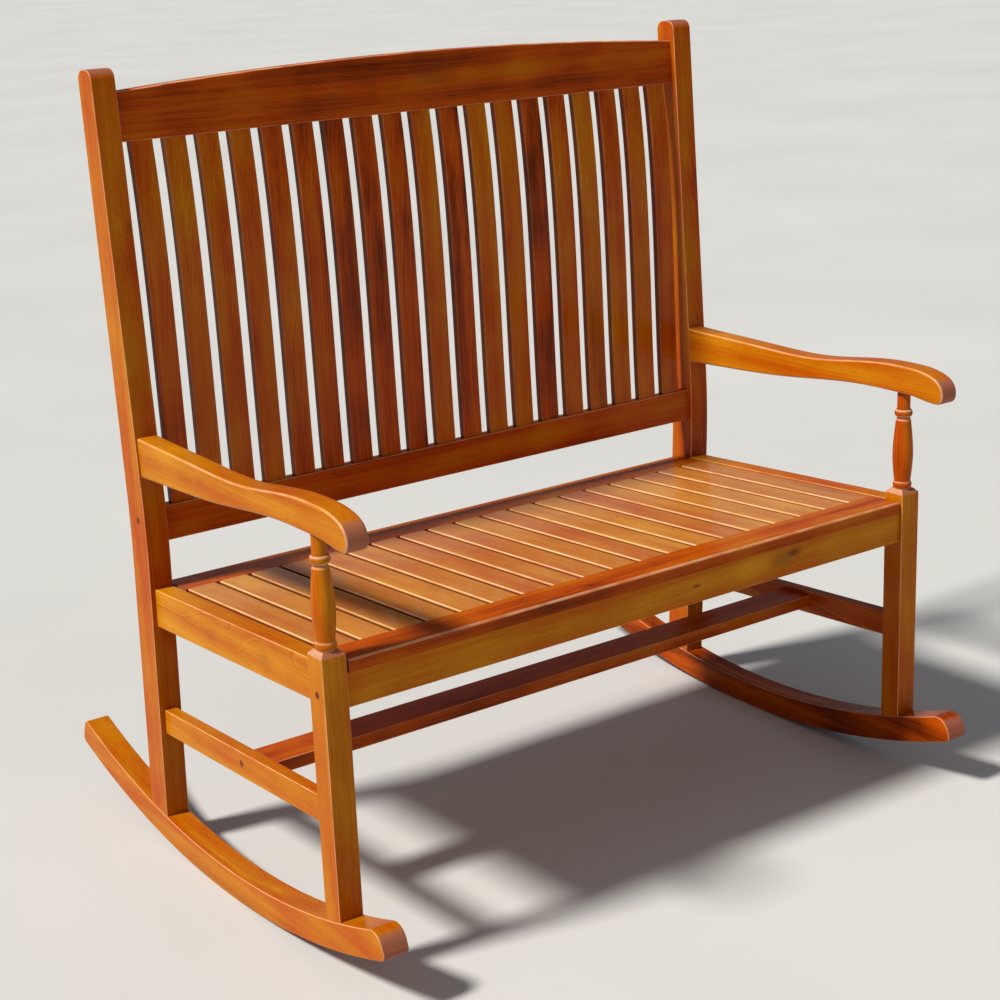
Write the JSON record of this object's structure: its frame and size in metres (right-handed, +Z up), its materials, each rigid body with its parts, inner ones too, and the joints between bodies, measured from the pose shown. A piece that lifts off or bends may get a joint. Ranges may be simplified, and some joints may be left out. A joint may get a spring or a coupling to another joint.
{
  "type": "rocking bench",
  "caption": "Two-seat slatted wooden rocking bench on curved runners, with turned arm supports, scrolled arms and a tall bowed-slat back under an arched crest rail.",
  "frame": {"origin": "on the floor, on the bench's middle plane, halfway along the runners, which is the centre of the bounding box's base", "axes": "+X to the right of someone looking at the bench's front, -Y out of the front, +Z up; parts named left are on the -X side"},
  "size_m": [1.112, 0.9493, 1.2],
  "materials": {
    "frame_wood": "oiled and varnished reddish hardwood, semi-gloss",
    "seat_wood": "oiled and varnished reddish hardwood, semi-gloss, slats varying in tone",
    "back_wood": "oiled and varnished reddish hardwood, semi-gloss, slats varying in tone",
    "turned_wood": "turned reddish hardwood, semi-gloss",
    "dowel_wood": "end-grain hardwood dowels, semi-gloss"
  },
  "bodies": {
    "root": {"left_runner": "frame_wood", "right_runner": "frame_wood", "front_left_leg": "frame_wood", "front_right_leg": "frame_wood", "rear_left_post": "frame_wood", "rear_right_post": "frame_wood", "front_apron": "frame_wood", "rear_seat_rail": "frame_wood", "left_side_rail": "frame_wood", "right_side_rail": "frame_wood", "crest_rail": "frame_wood", "lower_back_rail": "frame_wood", "left_arm": "frame_wood", "right_arm": "frame_wood", "left_side_stretcher": "frame_wood", "right_side_stretcher": "frame_wood", "long_stretcher": "frame_wood", "front_seat_board": "seat_wood", "rear_seat_board": "seat_wood", "seat_slat_01": "seat_wood", "seat_slat_02": "seat_wood", "seat_slat_03": "seat_wood", "seat_slat_04": "seat_wood", "seat_slat_05": "seat_wood", "seat_slat_06": "seat_wood", "seat_slat_07": "seat_wood", "seat_slat_08": "seat_wood", "seat_slat_09": "seat_wood", "seat_slat_10": "seat_wood", "seat_slat_11": "seat_wood", "seat_slat_12": "seat_wood", "seat_slat_13": "seat_wood", "seat_slat_14": "seat_wood", "seat_slat_15": "seat_wood", "seat_slat_16": "seat_wood", "seat_slat_17": "seat_wood", "seat_slat_18": "seat_wood", "seat_slat_19": "seat_wood", "back_slat_01": "back_wood", "back_slat_02": "back_wood", "back_slat_03": "back_wood", "back_slat_04": "back_wood", "back_slat_05": "back_wood", "back_slat_06": "back_wood", "back_slat_07": "back_wood", "back_slat_08": "back_wood", "back_slat_09": "back_wood", "back_slat_10": "back_wood", "back_slat_11": "back_wood", "back_slat_12": "back_wood", "back_slat_13": "back_wood", "back_slat_14": "back_wood", "back_slat_15": "back_wood", "back_slat_16": "back_wood", "back_slat_17": "back_wood", "back_slat_18": "back_wood", "back_slat_19": "back_wood", "left_arm_spindle": "turned_wood", "right_arm_spindle": "turned_wood", "dowels": "dowel_wood"}
  },
  "joints": []
}
